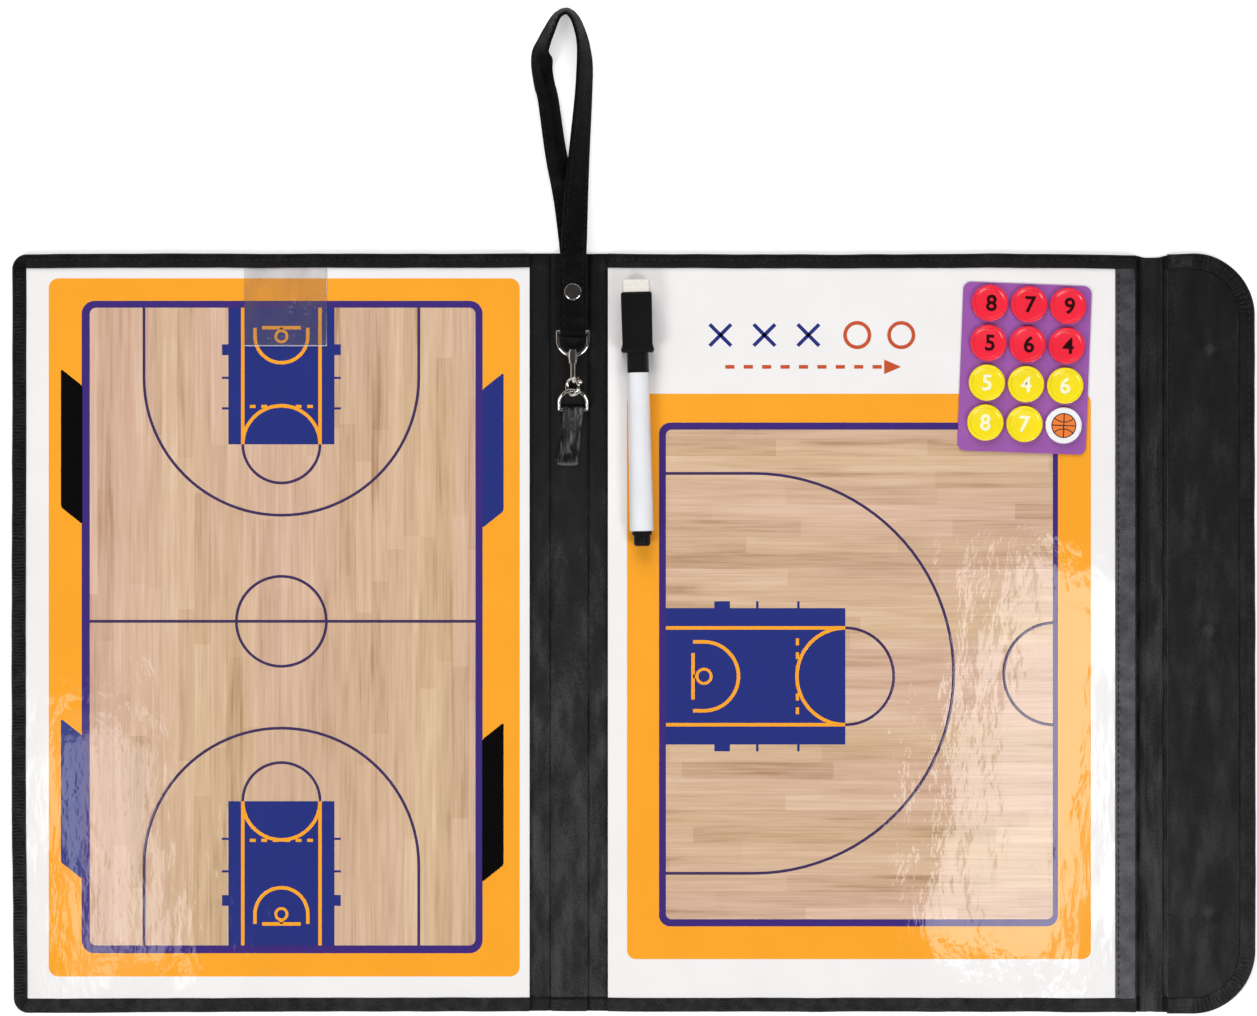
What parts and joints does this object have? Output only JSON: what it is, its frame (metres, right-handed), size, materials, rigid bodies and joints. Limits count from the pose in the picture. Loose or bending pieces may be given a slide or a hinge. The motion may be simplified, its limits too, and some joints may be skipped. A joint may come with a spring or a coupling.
{
  "type": "folding magnetic tactics board",
  "caption": "Open leather-look coaching folder with two court boards, closing flap, wrist strap on a snap hook, capped dry-wipe pen and numbered magnets on a card.",
  "frame": {"origin": "middle of the base panel's back face, which lies on the table", "axes": "+X across the open folder towards the flap, +Y up the page towards the wrist strap, +Z out of the writing faces"},
  "size_m": [0.5087, 0.413, 0.0139],
  "materials": {
    "black_leather": "pebble grain, satin",
    "lining_leather": "pebble grain, satin",
    "grey_board": "matte",
    "steel_sheet": "plain sheet",
    "closure_magnet": "sintered",
    "laminated_print": "glossy dry-wipe film",
    "clear_film": "hazy clear film",
    "plated_metal": "nickel plated",
    "white_plastic": "glossy",
    "black_plastic": "satin",
    "black_felt": "felt",
    "white_felt": "felt",
    "purple_card": "satin",
    "red_plastic": "glossy",
    "yellow_plastic": "glossy"
  },
  "bodies": {
    "base": {"base_skin": "black_leather", "base_board": "grey_board", "base_steel_sheet": "steel_sheet", "base_court_sheet": "laminated_print", "base_flap_strip": "lining_leather"},
    "spine": {"spine_skin": "black_leather", "spine_stiffener": "grey_board", "spine_lining": "lining_leather", "leather_tab": "black_leather", "cover_fold_leather": "black_leather", "spine_fold_leather": "black_leather"},
    "cover": {"cover_skin": "black_leather", "cover_board": "grey_board", "cover_steel_sheet": "steel_sheet", "cover_court_sheet": "laminated_print", "cover_keepers": "steel_sheet", "clear_paper_tab": "clear_film"},
    "gusset": {"gusset_skin": "black_leather", "gusset_lining": "lining_leather", "gusset_fold_leather": "black_leather", "flap_fold_leather": "black_leather"},
    "flap": {"flap_skin": "black_leather", "flap_board": "grey_board", "flap_lining": "lining_leather", "flap_magnets": "closure_magnet"},
    "ring": {"tab_ring": "plated_metal"},
    "hook": {"hook_body": "plated_metal", "gate_pin": "plated_metal"},
    "gate": {"hook_gate": "plated_metal"},
    "eye": {"swivel_eye": "plated_metal"},
    "strap": {"wrist_strap": "black_leather", "rivet_cap": "plated_metal", "rivet_tail": "plated_metal"},
    "cap": {"pen_cap": "black_plastic", "cap_magnet": "closure_magnet", "cap_eraser": "white_felt"},
    "pen": {"pen_barrel": "white_plastic", "pen_end_plug": "black_plastic", "ink_reservoir": "black_felt", "pen_nib_holder": "black_plastic", "pen_nib": "black_felt"},
    "card": {"magnet_card": "purple_card"},
    "red_magnet_8": {"red_magnet_8": "red_plastic"},
    "red_magnet_7": {"red_magnet_7": "red_plastic"},
    "red_magnet_9": {"red_magnet_9": "red_plastic"},
    "red_magnet_5": {"red_magnet_5": "red_plastic"},
    "red_magnet_6": {"red_magnet_6": "red_plastic"},
    "red_magnet_4": {"red_magnet_4": "red_plastic"},
    "yellow_magnet_5": {"yellow_magnet_5": "yellow_plastic"},
    "yellow_magnet_4": {"yellow_magnet_4": "yellow_plastic"},
    "yellow_magnet_6": {"yellow_magnet_6": "yellow_plastic"},
    "yellow_magnet_8": {"yellow_magnet_8": "yellow_plastic"},
    "yellow_magnet_7": {"yellow_magnet_7": "yellow_plastic"},
    "ball_magnet": {"ball_magnet": "white_plastic"}
  },
  "joints": [
    {"name": "spine_fold", "type": "hinge", "parent": "base", "child": "spine", "pos_m": [-0.1123, 0, 0.0008], "axis": [0, 1, 0], "range_deg": [0, 90], "deforming": ["spine_fold_leather"]},
    {"name": "cover_fold", "type": "hinge", "parent": "spine", "child": "cover", "pos_m": [-0.1356, 0, 0.0008], "axis": [0, 1, 0], "range_deg": [0, 94], "deforming": ["cover_fold_leather"]},
    {"name": "gusset_fold", "type": "hinge", "parent": "base", "child": "gusset", "pos_m": [0.1089, 0, 0.0008], "axis": [0, -1, 0], "range_deg": [0, 90], "deforming": ["gusset_fold_leather"]},
    {"name": "flap_fold", "type": "hinge", "parent": "gusset", "child": "flap", "pos_m": [0.1202, 0, 0.0008], "axis": [0, -1, 0], "range_deg": [0, 86], "deforming": ["flap_fold_leather"]},
    {"name": "ring_swing", "type": "hinge", "parent": "spine", "child": "ring", "pos_m": [-0.1223, 0.0915, 0.00415], "axis": [-1, 0, 0], "range_deg": [-70, 0]},
    {"name": "hook_swing", "type": "hinge", "parent": "ring", "child": "hook", "pos_m": [-0.1223, 0.09932, 0.00692], "axis": [-1, 0, 0], "range_deg": [-45, 0]},
    {"name": "gate_open", "type": "hinge", "parent": "hook", "child": "gate", "pos_m": [-0.12092, 0.10351, 0.0083], "axis": [-0.7071, 0, 0.7071], "range_deg": [-25, 0], "stiffness_Nm_per_rad": 0.01, "springref_deg": 5.73},
    {"name": "swivel_turn", "type": "hinge", "parent": "hook", "child": "eye", "pos_m": [-0.1223, 0.1135, 0.00692], "axis": [0, 1, 0], "range_deg": [-10, 10]},
    {"name": "strap_swing", "type": "hinge", "parent": "eye", "child": "strap", "pos_m": [-0.1223, 0.1232, 0.00692], "axis": [-1, 0, 0], "range_deg": [-60, 0]},
    {"name": "marker_lift", "type": "slide", "parent": "base", "child": "cap", "axis": [0, 0, -1], "range_m": [-0.06, 0]},
    {"name": "pen_pull", "type": "slide", "parent": "cap", "child": "pen", "axis": [-0.0236, 0.9997, 0], "range_m": [-0.05, 0]},
    {"name": "card_lift", "type": "slide", "parent": "base", "child": "card", "axis": [0, 0, -1], "range_m": [-0.04, 0]},
    {"name": "red_magnet_8_lift", "type": "slide", "parent": "card", "child": "red_magnet_8", "axis": [0, 0, -1], "range_m": [-0.02, 0]},
    {"name": "red_magnet_7_lift", "type": "slide", "parent": "card", "child": "red_magnet_7", "axis": [0, 0, -1], "range_m": [-0.02, 0]},
    {"name": "red_magnet_9_lift", "type": "slide", "parent": "card", "child": "red_magnet_9", "axis": [0, 0, -1], "range_m": [-0.02, 0]},
    {"name": "red_magnet_5_lift", "type": "slide", "parent": "card", "child": "red_magnet_5", "axis": [0, 0, -1], "range_m": [-0.02, 0]},
    {"name": "red_magnet_6_lift", "type": "slide", "parent": "card", "child": "red_magnet_6", "axis": [0, 0, -1], "range_m": [-0.02, 0]},
    {"name": "red_magnet_4_lift", "type": "slide", "parent": "card", "child": "red_magnet_4", "axis": [0, 0, -1], "range_m": [-0.02, 0]},
    {"name": "yellow_magnet_5_lift", "type": "slide", "parent": "card", "child": "yellow_magnet_5", "axis": [0, 0, -1], "range_m": [-0.02, 0]},
    {"name": "yellow_magnet_4_lift", "type": "slide", "parent": "card", "child": "yellow_magnet_4", "axis": [0, 0, -1], "range_m": [-0.02, 0]},
    {"name": "yellow_magnet_6_lift", "type": "slide", "parent": "card", "child": "yellow_magnet_6", "axis": [0, 0, -1], "range_m": [-0.02, 0]},
    {"name": "yellow_magnet_8_lift", "type": "slide", "parent": "card", "child": "yellow_magnet_8", "axis": [0, 0, -1], "range_m": [-0.02, 0]},
    {"name": "yellow_magnet_7_lift", "type": "slide", "parent": "card", "child": "yellow_magnet_7", "axis": [0, 0, -1], "range_m": [-0.02, 0]},
    {"name": "ball_magnet_lift", "type": "slide", "parent": "card", "child": "ball_magnet", "axis": [0, 0, -1], "range_m": [-0.02, 0]}
  ]
}
